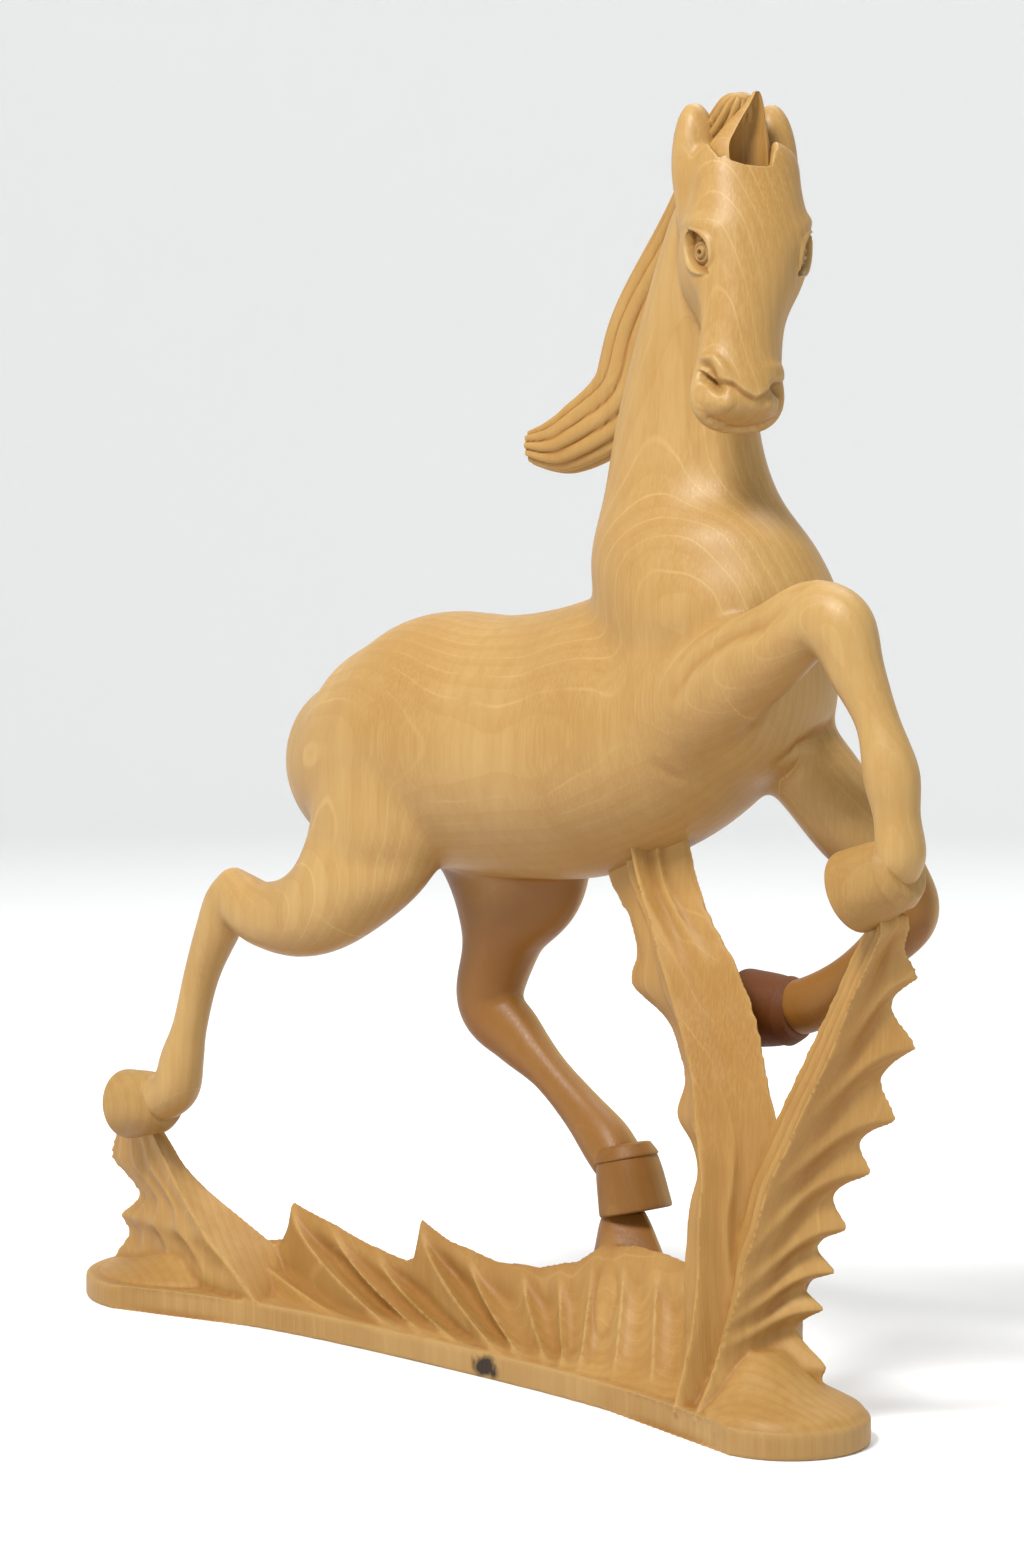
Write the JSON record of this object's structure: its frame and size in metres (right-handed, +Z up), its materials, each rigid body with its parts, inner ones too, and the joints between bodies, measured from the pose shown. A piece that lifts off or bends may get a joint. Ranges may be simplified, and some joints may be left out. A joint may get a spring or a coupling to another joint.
{
  "type": "carved running horse figure",
  "caption": "Running horse carved in pale wood with its wave and leaf base, head turned to its right side, standing on a flat underside.",
  "frame": {"origin": "on the underside of the base, under the middle of the horse's barrel", "axes": "+X is the way the horse runs, +Y is its left side, +Z is up"},
  "size_m": [0.3638, 0.076, 0.377],
  "materials": {
    "body_wood": "satin oiled limewood, smoothly cut, growth layers parallel to the flank",
    "base_wood": "satin limewood with hollow gouge flutes",
    "rim_wood": "satin limewood with vertical grain on the sawn rim",
    "hair_wood": "limewood with fine curved gouge cuts",
    "hoof_wood": "limewood, a little rougher end grain",
    "eye_wood": "limewood with a ring cut and a drilled pupil"
  },
  "bodies": {
    "root": {"plinth": "rim_wood", "ground_ridge": "base_wood", "hoof_wedge": "base_wood", "rear_plume": "base_wood", "belly_post": "base_wood", "front_plume": "base_wood", "trunk": "body_wood", "neck": "body_wood", "head": "body_wood", "right_eye": "eye_wood", "left_eye": "eye_wood", "right_ear": "body_wood", "left_ear": "body_wood", "forelock": "hair_wood", "mane": "hair_wood", "tail": "hair_wood", "right_foreleg": "body_wood", "left_foreleg": "body_wood", "right_hind_leg": "body_wood", "left_hind_leg": "body_wood", "right_fore_hoof": "hoof_wood", "left_fore_hoof": "hoof_wood", "right_hind_hoof": "hoof_wood", "left_hind_hoof": "hoof_wood"}
  },
  "joints": []
}
